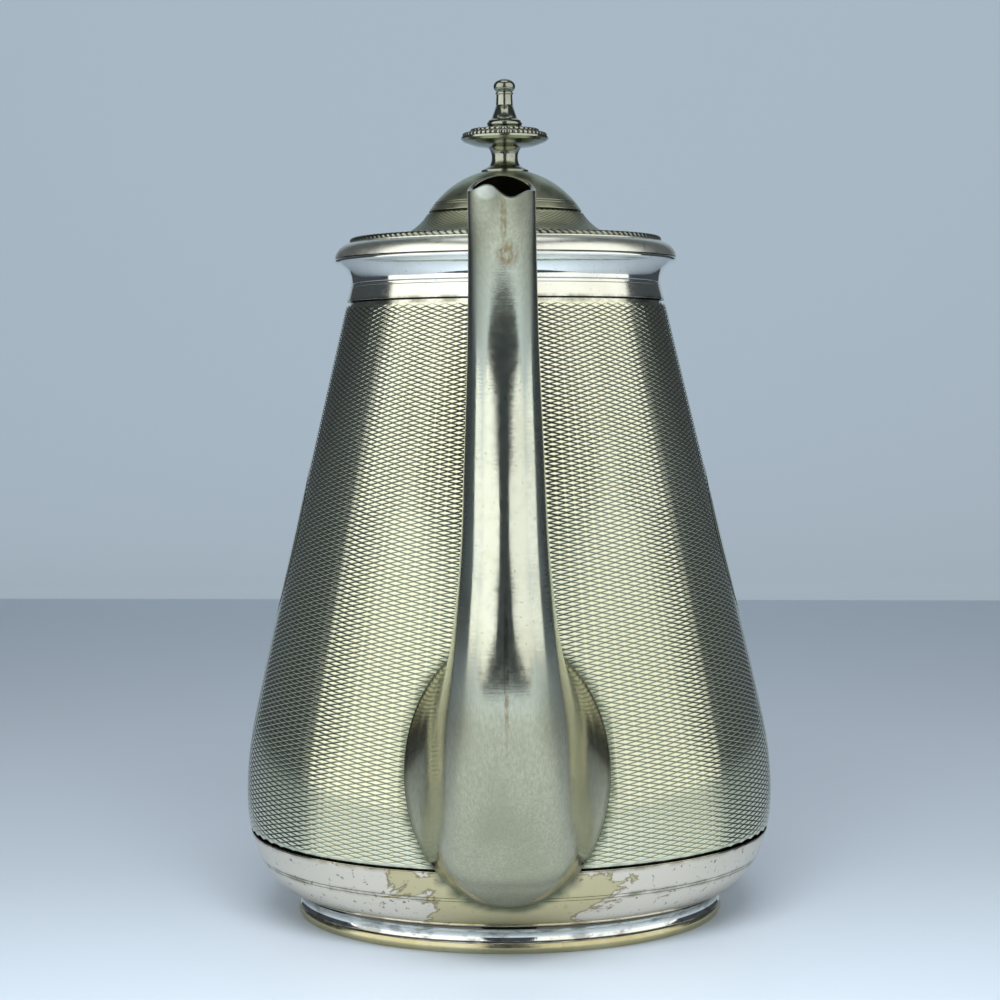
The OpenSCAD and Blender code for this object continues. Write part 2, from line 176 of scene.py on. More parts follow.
def refined(points, step, corner=28):
    """Open outline with its arcs smoothed and resampled; corners and straight runs stay as they are."""
    d = np.diff(points, axis=0)
    length = np.linalg.norm(d, axis=1)
    unit = d / length[:, None]
    turn = np.degrees(np.arccos(np.clip(np.sum(unit[:-1] * unit[1:], axis=1), -1, 1)))
    mean = unit[:-1] * length[1:, None] + unit[1:] * length[:-1, None]
    mean /= np.linalg.norm(mean, axis=1)[:, None]
    smooth = (turn < corner)[:, None]
    leaving = np.vstack([unit[:1], np.where(smooth, mean, unit[1:])])
    arriving = np.vstack([np.where(smooth, mean, unit[:-1]), unit[-1:]])
    out = []
    for i in range(len(d)):
        count = max(1, math.ceil(length[i] / step))
        t = np.arange(count)[:, None] / count
        out.append((2 * t**3 - 3 * t**2 + 1) * points[i] + (t**3 - 2 * t**2 + t) * leaving[i] * length[i]
                   + (3 * t**2 - 2 * t**3) * points[i + 1] + (t**3 - t**2) * arriving[i] * length[i])
    return np.vstack([*out, points[-1:]])


def distances(line):
    """Distance along an open outline at each of its points."""
    return np.concatenate([[0], np.cumsum(np.linalg.norm(np.diff(line[:, :2], axis=0), axis=1))])


def normals_at(line, place):
    """Unit normals that point to the right of an outline at distances along it."""
    s = distances(line)
    ahead, behind = place + 1e-4, place - 1e-4
    dr = np.interp(ahead, s, line[:, 0]) - np.interp(behind, s, line[:, 0])
    dz = np.interp(ahead, s, line[:, 1]) - np.interp(behind, s, line[:, 1])
    size = np.hypot(dr, dz)
    return dz / size, -dr / size


def at_distance(line, place, drop=0.0):
    """Radius and height on an outline at distances along it, sunk below it by drop."""
    s = distances(line)
    nr, nz = normals_at(line, place)
    return np.interp(place, s, line[:, 0]) - drop * nr, np.interp(place, s, line[:, 1]) - drop * nz


def grooved(line, heights, width=0.17 * MM, depth=0.12 * MM):
    """Outline points (r, z, darkening) with an engraved V groove at each height."""
    s = distances(line)
    places = np.interp(heights, line[:, 1], s)
    kept = s[np.all(np.abs(s[:, None] - places) > width * 1.05, axis=1)]
    marks = np.concatenate([kept, places - width, places, places + width])
    sunk = np.concatenate([np.zeros(len(kept) + len(places)), np.ones(len(places)), np.zeros(len(places))])
    order = np.argsort(marks)
    r, z = at_distance(line, marks, sunk * depth)
    return np.stack([r, z, sunk], axis=-1)[order]


def plain_run(line):
    """Outline points with no darkening on them."""
    return np.column_stack([line, np.zeros(len(line))])


def rings(profile, segments, phase=0.0):
    """Points and darkening of a profile (r, z, darkening) turned round the Z axis."""
    phi = (np.arange(segments) + phase) * TAU / segments
    r, z, grime_and_shade = [profile[:, i][:, None] * np.ones(segments) for i in range(3)]
    return np.stack([r * np.cos(phi), r * np.sin(phi), z], axis=-1), grime_and_shade


def uneven(points, amount, scale, seed):
    """Points moved in and out a little, as on old hand-worked metal."""
    out = points.copy()
    radius = np.maximum(np.hypot(points[..., 0], points[..., 1]), 1e-4)
    grow = 1 + amount * ripple(points, scale, seed) / radius
    out[..., 0] *= grow
    out[..., 1] *= grow
    return out


def turned(name, profile, segments, material, body, waver=(0.02 * MM, 0.02, 1), relief=None, **piece):
    """Solid turned from a closed profile (r, z, darkening); a profile that meets the axis ends in poles."""
    on_axis = profile[:, 0] < 1e-6
    grid, grime_and_shade = rings(profile[~on_axis], segments)
    if relief is not None:
        grid, grime_and_shade = relief(grid, grime_and_shade)
    grid = uneven(grid, *waver)
    rows = len(grid)
    verts, faces = [grid.reshape(-1, 3)], grid_faces(rows, segments, closed=not on_axis.any()).tolist()
    values = [grime_and_shade.reshape(-1)]
    if on_axis.any():
        poles = profile[on_axis]
        j = np.arange(segments)
        for row, pole in ((0, poles[0]), (rows - 1, poles[-1])):
            centre = sum(len(v) for v in verts)
            verts.append([[0, 0, pole[1]]])
            values.append([0.0])
            start = row * segments
            fan = np.stack([np.full(segments, centre), start + j, start + (j + 1) % segments], axis=-1)
            faces += fan.tolist()
    return new_piece(name, np.vstack(verts), faces, material, body, grime_and_shade=np.concatenate(values), **piece)


# ---------------------------------------------------------------- engine turning

# Flat face of a lozenge as a share of its width and of its height
FACE_WIDTH = 0.62
FACE_HEIGHT = 0.50
LOZENGES_ROUND = 75


def lozenges(line, s0, s1, columns, row, depth):
    """Engine turning between two distances along an outline: points, darkening, faces and number of rows.

    The V grooves cross at lattice points. Those of even rows lie half a lozenge round from those of odd
    rows. Each lozenge has a raised flat face, and the first and last rows are level with the plain metal.
    """
    rows = int(round((s1 - s0) / row / 2)) * 2
    place = np.linspace(s0, s1, rows + 1)
    step = place[1] - place[0]
    pitch = TAU / columns
    j = np.arange(columns)

    def around(phi, distance, drop):
        r, z = at_distance(line, distance, drop)
        return np.stack([r * np.cos(phi), r * np.sin(phi), z * np.ones_like(phi)], axis=-1)

    n = np.arange(rows + 1)[:, None]
    edge = (n == 0) | (n == rows)
    phi = (j + np.where(n % 2 == 0, 0.5, 0.0)) * pitch
    sunk = np.where(edge, 0.0, np.where((n == 1) | (n == rows - 1), 0.45, 1.0)) * np.ones(columns)
    lattice = around(phi, place[:, None] * np.ones(columns), sunk * depth)
    n = n[1:-1]
    centre = (j + np.where(n % 2 == 0, 0.0, 0.5)) * pitch
    here = place[1:-1, None] * np.ones(columns)
    side, rise = FACE_WIDTH * pitch / 2, FACE_HEIGHT * step
    tips = np.stack([around(centre - side, here, 0.0), around(centre, here - rise, 0.0),
                     around(centre + side, here, 0.0), around(centre, here + rise, 0.0)], axis=2)
    even = n % 2 == 0
    left = n * columns + np.where(even, (j - 1) % columns, j)
    right = n * columns + np.where(even, j, (j + 1) % columns)
    below, above = (n - 1) * columns + j, (n + 1) * columns + j
    first = lattice.shape[0] * columns + 4 * ((n - 1) * columns + j)
    corner = [left, below, right, above]
    faces = [np.stack([first + q for q in range(4)], axis=-1).reshape(-1, 4)]
    for q in range(4):
        p = (q + 1) % 4
        faces.append(np.stack([corner[q], corner[p], first + p, first + q], axis=-1).reshape(-1, 4))
    verts = np.vstack([lattice.reshape(-1, 3), tips.reshape(-1, 3)])
    grime_and_shade = np.concatenate([sunk.reshape(-1), np.zeros(tips.size // 3)])
    return verts, grime_and_shade, np.vstack(faces), rows


def engine_turned_shell(line, lower, upper, inner, s0, s1, columns, row, depth):
    """Closed shell whose outer side has engine turning between two plain bands."""
    verts, grime_and_shade, faces, rows = lozenges(line, s0, s1, columns, row, depth)
    around = 2 * columns
    plain, plain_dirt = rings(np.vstack([upper, inner, lower]), around, phase=1)
    count = len(plain)
    start = len(verts)
    joins = []
    j = np.arange(columns)
    k = (j + 1) % columns
    for end, ring, inside in ((0, start + (count - 1) * around, 1), (rows, start, rows - 1)):
        tip, following, inner_tip = end * columns + j, end * columns + k, inside * columns + k
        a, b, c = ring + 2 * j, ring + 2 * j + 1, ring + (2 * j + 2) % around
        joins += [np.stack([tip, a, b, inner_tip], -1), np.stack([inner_tip, b, c, following], -1)]
    all_faces = np.vstack([faces, start + grid_faces(count, around), *joins])
    return (np.vstack([verts, plain.reshape(-1, 3)]), np.concatenate([grime_and_shade, plain_dirt.reshape(-1)]),
            all_faces)


# ---------------------------------------------------------------- materials

def new_material(name, metallic):
    """An empty material with its tree and its shader."""
    material = bpy.data.materials.new(name)
    material.use_nodes = True
    tree = material.node_tree
    tree.nodes.clear()
    out = tree.nodes.new("ShaderNodeOutputMaterial")
    shader = tree.nodes.new("ShaderNodeBsdfPrincipled")
    shader.inputs["Metallic"].default_value = metallic
    tree.links.new(shader.outputs[0], out.inputs[0])
    return material, tree, shader


def coords(tree, scale=(1, 1, 1)):
    """Object coordinates in metres, times a scale."""
    source = tree.nodes.new("ShaderNodeTexCoord")
    mapping = tree.nodes.new("ShaderNodeMapping")
    mapping.inputs["Scale"].default_value = scale
    tree.links.new(source.outputs["Object"], mapping.inputs["Vector"])
    return mapping.outputs[0]


def noise(tree, scale, detail=4.0, rough=0.55, distortion=0.0, stretch=(1, 1, 1)):
    """Noise value from 0 to 1."""
    node = tree.nodes.new("ShaderNodeTexNoise")
    node.inputs["Scale"].default_value = scale
    node.inputs["Detail"].default_value = detail
    node.inputs["Roughness"].default_value = rough
    node.inputs["Distortion"].default_value = distortion
    tree.links.new(coords(tree, stretch), node.inputs["Vector"])
    return node.outputs[0]


def ramp(tree, value, *stops):
    """Value mapped through (position, value) stops."""
    node = tree.nodes.new("ShaderNodeValToRGB")
    elements = node.color_ramp.elements
    while len(elements) < len(stops):
        elements.new(0.5)
    for element, (place, level) in zip(elements, stops):
        element.position = place
        element.color = (level, level, level, 1)
    tree.links.new(value, node.inputs[0])
    return node.outputs[0]


def put(tree, socket, value):
    """Links an output to a socket, or sets a number or colour on it."""
    if isinstance(value, bpy.types.NodeSocket):
        tree.links.new(value, socket)
    elif isinstance(value, tuple):
        socket.default_value = (*value, 1)
    else:
        socket.default_value = value


def blend(tree, factor, a, b):
    """Colour a where factor is 0 and colour b where it is 1."""
    node = tree.nodes.new("ShaderNodeMix")
    node.data_type = "RGBA"
    for index, value in ((0, factor), (6, a), (7, b)):
        put(tree, node.inputs[index], value)
    return node.outputs[2]


def maths(tree, operation, a, b):
    """Result of a maths node, kept between 0 and 1."""
    node = tree.nodes.new("ShaderNodeMath")
    node.operation = operation
    node.use_clamp = True
    put(tree, node.inputs[0], a)
    put(tree, node.inputs[1], b)
    return node.outputs[0]


def height_band(tree, z0, z1, soft=0.0004):
    """1 between two heights and 0 outside them."""
    split = tree.nodes.new("ShaderNodeSeparateXYZ")
    tree.links.new(coords(tree), split.inputs[0])
    over = tree.nodes.new("ShaderNodeMapRange")
    under = tree.nodes.new("ShaderNodeMapRange")
    for node, edge, direction in ((over, z0, 1), (under, z1, -1)):
        node.inputs["From Min"].default_value = edge - direction * soft / 2
        node.inputs["From Max"].default_value = edge + direction * soft / 2
        tree.links.new(split.outputs[2], node.inputs["Value"])
    return maths(tree, "MULTIPLY", over.outputs[0], under.outputs[0])


def spot(tree, centre, radii):
    """1 at a place, falling to 0 at the edge of an ellipsoid round it."""
    source = tree.nodes.new("ShaderNodeTexCoord")
    mapping = tree.nodes.new("ShaderNodeMapping")
    mapping.vector_type = "TEXTURE"
    mapping.inputs["Location"].default_value = centre
    mapping.inputs["Scale"].default_value = radii
    tree.links.new(source.outputs["Object"], mapping.inputs["Vector"])
    length = tree.nodes.new("ShaderNodeVectorMath")
    length.operation = "LENGTH"
    tree.links.new(mapping.outputs[0], length.inputs[0])
    return maths(tree, "SUBTRACT", 1.0, length.outputs["Value"])


def bump(tree, shader, layers):
    """Chain of bumps, each (height, distance in metres, strength)."""
    normal = None
    for height, distance, strength in layers:
        node = tree.nodes.new("ShaderNodeBump")
        node.inputs["Distance"].default_value = distance
        node.inputs["Strength"].default_value = strength
        tree.links.new(height, node.inputs["Height"])
        if normal is not None:
            tree.links.new(normal, node.inputs["Normal"])
        normal = node.outputs[0]
    tree.links.new(normal, shader.inputs["Normal"])


# Roughness added where the metal is dull
DULLNESS = 0.05


def silver(name, clean, tarnish, rough, amount=(0.45, 0.75), dents=1.0, scratches=1.0, grime_and_shade_colour=None,
           marks=None, dull=None):
    """Silver plate with clouds of tarnish, specks, shallow dents and fine scratches.

    rough is the least and greatest roughness, grime_and_shade_colour the colour where the mesh's darkening
    is set (grime in grooves and joints, painted shade round the spout's flange), marks a function of
    (tree, colour) that adds marks of its own, and dull one of (tree) that is 1 where the metal is dull.
    """
    material, tree, shader = new_material(name, 1.0)
    cloud = noise(tree, 42, detail=6, rough=0.62)
    fine = noise(tree, 520, detail=5, rough=0.65)
    colour = blend(tree, ramp(tree, cloud, (amount[0], 0), (amount[1], 1)), clean, tarnish)
    speck = ramp(tree, noise(tree, 1100, detail=2), (0.68, 0), (0.73, 0.45))
    colour = blend(tree, speck, colour, tuple(c * 0.3 for c in tarnish))
    if marks is not None:
        colour = marks(tree, colour)
    # Darkening from the mesh's attribute: grime in grooves and joints, and painted shade round the spout's
    # flange
    if grime_and_shade_colour is not None:
        attribute = tree.nodes.new("ShaderNodeAttribute")
        attribute.attribute_name = "grime_and_shade"
        colour = blend(tree, attribute.outputs["Fac"], colour, grime_and_shade_colour)
    tree.links.new(colour, shader.inputs["Base Color"])
    roughness = ramp(tree, fine, (0.3, rough[0]), (0.75, rough[1]))
    if dull is not None:
        roughness = maths(tree, "ADD", roughness, maths(tree, "MULTIPLY", dull(tree), DULLNESS))
    tree.links.new(roughness, shader.inputs["Roughness"])
    upright = noise(tree, 2600, detail=2, distortion=0.5, stretch=(1, 1, 0.06))
    level = noise(tree, 2300, detail=2, distortion=0.5, stretch=(0.08, 0.08, 1))
    bump(tree, shader, [
        (cloud, 0.4 * MM, 0.10 * dents),
        (fine, 0.05 * MM, 0.10 * dents),
        (upright, 0.02 * MM, 0.22 * scratches),
        (level, 0.02 * MM, 0.16 * scratches),
    ])
    return material


CLEAN = (0.88, 0.90, 0.80)
WARM = (0.83, 0.835, 0.61)
BRASS = (0.60, 0.52, 0.28)
OLIVE = (0.40, 0.42, 0.30)
FRONT_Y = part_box("body_shell")[0].y
SPOUT_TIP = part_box("spout")[0].y
TURNING_Z = (0.0243, 0.1672)
PLAIN_BAND_Z = (-0.01, 0.0234)
GRIMY_LINES_Z = ((0.0152, 0.0168), (0.0226, 0.0246), (0.1668, 0.1688))
SEAM_Z = (-0.01, 0.0079)
LID_EDGE_Z = (0.17, 0.1845)
FOOT_TOP_Z = (0.0064, 0.012)
STAIN_BROWN = (0.22, 0.14, 0.05)
# Centre and radii of each brown stain on the spout: a drip, the blotch below it, and a line lower down
SPOUT_STAINS = (
    ((0.0004, SPOUT_TIP + 0.004, 0.1825), (0.0009, 0.02, 0.006)),
    ((0.0012, SPOUT_TIP + 0.009, 0.1752), (0.0030, 0.02, 0.0035)),
    ((0.0002, SPOUT_TIP + 0.022, 0.078), (0.0007, 0.02, 0.024)),
)


def body_marks(tree, colour):
    """Warm tarnish on the engine turning, grime in the lines and seam, and plating worn to yellow metal."""
    warm = ramp(tree, noise(tree, 26, detail=5, stretch=(1, 1, 0.6)), (0.32, 0.35), (0.68, 1))
    band = height_band(tree, *TURNING_Z)
    colour = blend(tree, maths(tree, "MULTIPLY", warm, band), colour, WARM)
    colour = blend(tree, height_band(tree, 0.02, 0.115, soft=0.07), colour, (0.74, 0.745, 0.54))
    low = height_band(tree, *PLAIN_BAND_Z)
    colour = blend(tree, low, colour, (0.80, 0.72, 0.60))
    patchy = ramp(tree, noise(tree, 210, detail=5), (0.36, 0), (0.62, 0.75))
    for z0, z1 in GRIMY_LINES_Z:
        line = height_band(tree, z0, z1, soft=0.0008)
        colour = blend(tree, maths(tree, "MULTIPLY", line, patchy), colour, (0.20, 0.20, 0.12))
    speck = ramp(tree, noise(tree, 640, detail=3), (0.63, 0), (0.68, 0.8))
    colour = blend(tree, maths(tree, "MULTIPLY", speck, low), colour, (0.16, 0.15, 0.09))
    ragged = noise(tree, 48, detail=9, rough=0.64, distortion=0.7, stretch=(1, 1, 1.8))
    front = spot(tree, (0, FRONT_Y, 0.016), (0.060, 0.05, 0.030))
    reach = maths(tree, "ADD", maths(tree, "MULTIPLY", front, 0.40), ragged)
    worn = maths(tree, "MULTIPLY", ramp(tree, reach, (0.67, 0), (0.69, 0.85)), low)
    edge = maths(tree, "MULTIPLY", ramp(tree, reach, (0.655, 0), (0.67, 0.8), (0.685, 0.8), (0.70, 0)), low)
    colour = blend(tree, edge, blend(tree, worn, colour, BRASS), (0.26, 0.20, 0.10))
    seam = height_band(tree, *SEAM_Z, soft=0.001)
    return blend(tree, seam, colour, (0.07, 0.07, 0.05))


def spout_ends(tree):
    """1 low down on the spout and towards its mouth, where the metal is dull, and 0 between."""
    low = height_band(tree, -0.1, 0.076, soft=0.022)
    high = height_band(tree, 0.164, 0.4, soft=0.03)
    return maths(tree, "ADD", low, high)


def spout_marks(tree, colour):
    """Dull metal low and high on the spout, brown stains, and a cloudy lip with a painted highlight on one
    dent.
    """
    grain = ramp(tree, noise(tree, 1900, detail=6, rough=0.75, stretch=(1, 1, 0.3)), (0.35, 0), (0.7, 1))
    dull = blend(tree, grain, (0.53, 0.51, 0.37), (0.325, 0.32, 0.215))
    patch = ramp(tree, noise(tree, 70, detail=5, stretch=(1, 1, 0.5)), (0.42, 0), (0.7, 0.55))
    dull = blend(tree, patch, dull, (0.34, 0.33, 0.22))
    colour = blend(tree, spout_ends(tree), colour, dull)
    streak = ramp(tree, noise(tree, 1200, stretch=(1, 1, 0.3)), (0.38, 0.15), (0.58, 0.8))
    for centre, radii in SPOUT_STAINS:
        stain = ramp(tree, spot(tree, centre, radii), (0.0, 0), (0.45, 0.9))
        colour = blend(tree, maths(tree, "MULTIPLY", stain, streak), colour, STAIN_BROWN)
    # Painted highlight on the dent in the lip, in clean metal's colour
    dent = spot(tree, (-0.0034, SPOUT_TIP + 0.003, 0.1888), (0.0030, 0.02, 0.0022))
    painted_glint = ramp(tree, dent, (0.05, 0), (0.4, 0.4))
    mouth = spot(tree, (0.0, SPOUT_TIP + 0.008, 0.189), (0.0105, 0.02, 0.012))
    cloudy = ramp(tree, noise(tree, 260), (0.4, 0), (0.7, 0.8))
    colour = blend(tree, maths(tree, "MULTIPLY", mouth, cloudy), colour, (0.30, 0.26, 0.15))
    return blend(tree, painted_glint, colour, CLEAN)


def foot_marks(tree, colour):
    """Dark blotches on the foot, and a dark line where it meets the body."""
    blotch = ramp(tree, noise(tree, 130, detail=6, stretch=(1, 1, 2.5)), (0.5, 0), (0.62, 0.8))
    foot = height_band(tree, -0.01, FOOT_TOP_Z[1])
    colour = blend(tree, maths(tree, "MULTIPLY", blotch, foot), colour, (0.30, 0.31, 0.30))
    return blend(tree, height_band(tree, *FOOT_TOP_Z), colour, (0.09, 0.09, 0.08))


def lid_marks(tree, colour):
    """Olive tarnish over the dome, and bright metal on the moulding at the lid's edge."""
    cloudy = ramp(tree, noise(tree, 90, detail=6), (0.3, 0), (0.7, 0.7))
    colour = blend(tree, cloudy, colour, (0.45, 0.49, 0.30))
    return blend(tree, height_band(tree, *LID_EDGE_Z, soft=0.0008), colour, CLEAN)


def mottled(name, light, dark, rough, metallic, scale, depth):
    """Two-tone mottled material for bone and for dull inner metal."""
    material, tree, shader = new_material(name, metallic)
    value = noise(tree, scale, detail=6)
    colour = blend(tree, ramp(tree, value, (0.35, 0), (0.7, 1)), light, dark)
    tree.links.new(colour, shader.inputs["Base Color"])
    tree.links.new(ramp(tree, value, (0.3, rough[0]), (0.8, rough[1])), shader.inputs["Roughness"])
    bump(tree, shader, [(noise(tree, scale * 6), depth, 0.4)])
    return material


ENGINE = silver("engine_turned", CLEAN, (0.78, 0.77, 0.66), (0.10, 0.20), dents=0.5, scratches=0.6,
                grime_and_shade_colour=(0.095, 0.12, 0.075), marks=body_marks)
POLISHED = silver("polished", (0.88, 0.90, 0.87), (0.74, 0.75, 0.69), (0.04, 0.11), dents=0.8,
                  scratches=1.0, grime_and_shade_colour=(0.15, 0.15, 0.12), marks=foot_marks)
SATIN = silver("satin", (0.68, 0.72, 0.60), (0.58, 0.58, 0.44), (0.09, 0.19), dents=1.3, scratches=2.0,
               grime_and_shade_colour=(0.07, 0.07, 0.05), marks=spout_marks, dull=spout_ends)
HANDLE_METAL = silver("handle_metal", (0.82, 0.82, 0.76), (0.64, 0.63, 0.50), (0.10, 0.22))
LID = silver("lid_metal", (0.63, 0.66, 0.49), OLIVE, (0.26, 0.40), amount=(0.35, 0.7), dents=0.6,
             scratches=0.6, grime_and_shade_colour=(0.09, 0.10, 0.06), marks=lid_marks)
FINIAL = silver("finial_metal", (0.47, 0.50, 0.42), (0.19, 0.20, 0.15), (0.12, 0.24), amount=(0.38, 0.68),
                dents=0.8, scratches=0.6, grime_and_shade_colour=(0.02, 0.02, 0.015))
WORN = silver("worn_wire", (0.62, 0.58, 0.38), (0.50, 0.45, 0.24), (0.14, 0.30), amount=(0.35, 0.6),
              scratches=1.6)
INNER = mottled("inner_metal", (0.50, 0.46, 0.38), (0.22, 0.16, 0.10), (0.35, 0.60), 1.0, 60, 0.1 * MM)
BONE = mottled("bone", (0.80, 0.72, 0.55), (0.62, 0.50, 0.32), (0.28, 0.45), 0.0, 220, 0.05 * MM)


# ---------------------------------------------------------------- body, foot and rim

STRAINER_PITCH = 5.2 * MM
STRAINER_RADIUS = 1.25 * MM
STRAINER_Z = 48 * MM
CARTOUCHE_HALF = (15 * MM, 20.5 * MM)
CARTOUCHE_Z = 102 * MM
# The spout's oval flange on the body's wall
FLANGE_HALF = (26 * MM, 34.2 * MM)
FLANGE_Z = 48.2 * MM
FLANGE_RISE = 0.8 * MM


def strainer_cutters():
    """Points and faces of a rod through each strainer hole behind the spout."""
    sides = 16
    angle = np.arange(sides) * TAU / sides
    verts, faces = [], []
    for row in range(-4, 5):
        for i in range(7 - abs(row)):
            x = (i - (6 - abs(row)) / 2) * STRAINER_PITCH
            z = STRAINER_Z + row * STRAINER_PITCH * math.sin(math.radians(60))
            start = len(verts) * 2 * sides
            ring = np.stack([x + STRAINER_RADIUS * np.cos(angle), 0 * angle,
                             z + STRAINER_RADIUS * np.sin(angle)], axis=-1)
            verts.append(np.vstack([ring + (0, -0.060, 0), ring + (0, -0.076, 0)]))
            faces += (start + grid_faces(2, sides)).tolist()
            faces.append(list(range(start, start + sides)))
            faces.append(list(range(start + sides, start + 2 * sides))[::-1])
    return np.vstack(verts), faces


def cartouche(line, side):
    """Points, darkening and faces of a plain oval pad with a raised border on one side of the body."""
    sides = 72
    angle = np.arange(sides) * TAU / sides
    levels = ((0.02, -0.5), (1.03, -0.5), (1.03, 0.0), (1.0, 0.10), (0.965, 0.14), (0.93, 0.10),
              (0.915, -0.04), (0.90, 0.03), (0.60, 0.05), (0.30, 0.05), (0.02, 0.05))
    s = distances(line)
    verts, grime_and_shade = [], []
    for reach, lift in levels:
        z = CARTOUCHE_Z + reach * CARTOUCHE_HALF[1] * np.sin(angle)
        r, z = at_distance(line, np.interp(z, line[:, 1], s), -lift * MM)
        phi = side * reach * CARTOUCHE_HALF[0] * np.cos(angle) / r + (0 if side > 0 else math.pi)
        verts.append(np.stack([r * np.cos(phi), r * np.sin(phi), z], axis=-1))
        grime_and_shade.append(np.full(sides, 1.0 if lift in (0.0, -0.04) else 0.0))
    count = len(levels)
    faces = grid_faces(count, sides).tolist()
    faces += [list(range(sides)), list(range((count - 1) * sides, count * sides))[::-1]]
    return np.vstack(verts), np.concatenate(grime_and_shade), faces


def make_body():
    """Body shell with engine turning between plain bands, strainer holes and two plain cartouches."""
    outer, inner = shell_sides("body_shell")
    line = refined(outer, 0.9 * MM)
    s = distances(line)
    s0, s1 = np.interp(TURNING_Z, line[:, 1], s)
    edge = 0.2 * MM
    lower_lines = [15.6 * MM, 16.4 * MM, 23.2 * MM, 23.8 * MM]
    lower = grooved(line[s < s0 - edge], lower_lines, width=0.16 * MM, depth=0.09 * MM)
    upper_lines = [167.6 * MM, 168.2 * MM, 172.1 * MM]
    upper = grooved(line[s > s1 + edge], upper_lines, width=0.11 * MM, depth=0.07 * MM)
    inside = plain_run(refined(inner, 5 * MM))
    verts, grime_and_shade, faces = engine_turned_shell(
        line, lower, upper, inside, s0, s1, columns=LOZENGES_ROUND, row=0.634 * MM, depth=0.10 * MM)
    # Painted shade on the body's wall in the crease round the spout's oval flange
    oval = np.hypot(verts[:, 0] / FLANGE_HALF[0], (verts[:, 2] - FLANGE_Z) / FLANGE_HALF[1])
    off = (oval - 1) * FLANGE_HALF[0] + 0.5 * MM * ripple(verts, 0.006, 5)
    flange_shade = np.where(verts[:, 1] < 0, 1 - smooth_step(off, 0.3 * MM, 1.8 * MM), 0)
    grime_and_shade = np.maximum(grime_and_shade, 0.9 * flange_shade)
    body = new_piece("body", verts, faces, ENGINE, "pot", replaces=("body_shell",),
                     slot="engine_turned_silver", grime_and_shade=grime_and_shade, sharp=12)
    holes = bpy.data.meshes.new("strainer_rods")
    rods, rod_faces = strainer_cutters()
    holes.from_pydata(rods.tolist(), [], rod_faces)
    cutter = bpy.data.objects.new("strainer_rods", holes)
    bpy.context.scene.collection.objects.link(cutter)
    cut = body.modifiers.new("strainer", "BOOLEAN")
    cut.operation = "DIFFERENCE"
    cut.solver = "MANIFOLD"
    cut.object = cutter
    depsgraph = bpy.context.evaluated_depsgraph_get()
    pierced = bpy.data.meshes.new_from_object(body.evaluated_get(depsgraph), depsgraph=depsgraph)
    body.modifiers.clear()
    bpy.data.objects.remove(cutter)
    body.data = pierced
    for side in (1, -1):
        pad, pad_dirt, pad_faces = cartouche(line, side)
        new_piece("cartouche_right" if side > 0 else "cartouche_left", pad, pad_faces, ENGINE, "pot",
                  slot="engine_turned_silver", grime_and_shade=pad_dirt)


MOULDING_SIDES = 300


def make_turned_parts():
    """Foot and rim mouldings, turned again from their CAD sections."""
    outer, inner = shell_sides("rim_collar")
    inside = plain_run(refined(inner, 0.6 * MM))[1:-1]
    collar = np.vstack([grooved(refined(outer, 0.3 * MM), [173.0 * MM]), inside])
    turned("rim", collar, MOULDING_SIDES, POLISHED, "pot", waver=(0.05 * MM, 0.012, 2),
           replaces=("rim_collar",), slot="polished_silver")
    closed = {
        "rim_edge": ("rim_wire", "polished_silver", POLISHED, (0.05 * MM, 0.012, 3)),
        "foot": ("foot_ring", "polished_silver", POLISHED, (0.04 * MM, 0.03, 4)),
        "foot_strip": ("foot_wire", "worn_wire", WORN, (0.06 * MM, 0.014, 5)),
    }
    for name, (node, slot, material, waver) in closed.items():
        outer, inner = shell_sides(node)
        profile = plain_run(np.vstack([refined(outer, 0.25 * MM), refined(inner, 0.5 * MM)[1:-1]]))
        turned(name, profile, MOULDING_SIDES, material, "pot", waver=waver, replaces=(node,), slot=slot)


# ---------------------------------------------------------------- lid and finial

def make_lid():
    """Domed lid with engine turning above its rope border and engraved lines round the dome."""
    outer, inner = shell_sides("lid_cover")
    line = refined(outer, 0.45 * MM)
    s = distances(line)
    s0 = s[np.flatnonzero(line[:, 0] > 39.6 * MM)[-1]]
    s1 = np.interp(192.3 * MM, line[:, 1], s)
    edge = 0.15 * MM
    lower = plain_run(line[s < s0 - edge])
    upper = grooved(line[s > s1 + edge], [192.65 * MM, 194.5 * MM, 195.1 * MM], width=0.14 * MM)
    inside = plain_run(refined(inner, 2 * MM))
    verts, grime_and_shade, faces = engine_turned_shell(
        line, lower, upper, inside, s0, s1, columns=LOZENGES_ROUND, row=0.42 * MM, depth=0.07 * MM)
    new_piece("lid", verts, faces, LID, "lid", replaces=("lid_cover",), slot="lid_silver", grime_and_shade=grime_and_shade,
              sharp=12)


def make_rope_border():
    """Twisted rope moulding on the lid's edge."""
    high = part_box("lid_rope_border")[1]
    radius = 0.85 * MM
    centre = high.x - radius
    height = high.z - radius
    strands, steps, sides = 132, 1320, 20
    phi = np.arange(steps)[:, None] * TAU / steps
    theta = np.arange(sides) * TAU / sides
    bulge = np.sqrt(np.abs(np.cos((2 * theta + strands * phi) / 2)))
    r = radius * (0.72 + 0.28 * bulge)
    out = centre + r * np.cos(theta)
    verts = np.stack([out * np.cos(phi), out * np.sin(phi), height + r * np.sin(theta)], axis=-1)
    faces = grid_faces(steps, sides, closed=True)
    new_piece("rope_border", verts.reshape(-1, 3), faces, FINIAL, "lid", replaces=("lid_rope_border",),
              slot="polished_silver", grime_and_shade=smooth_step(1 - bulge, 0.15, 0.6).reshape(-1), sharp=60)


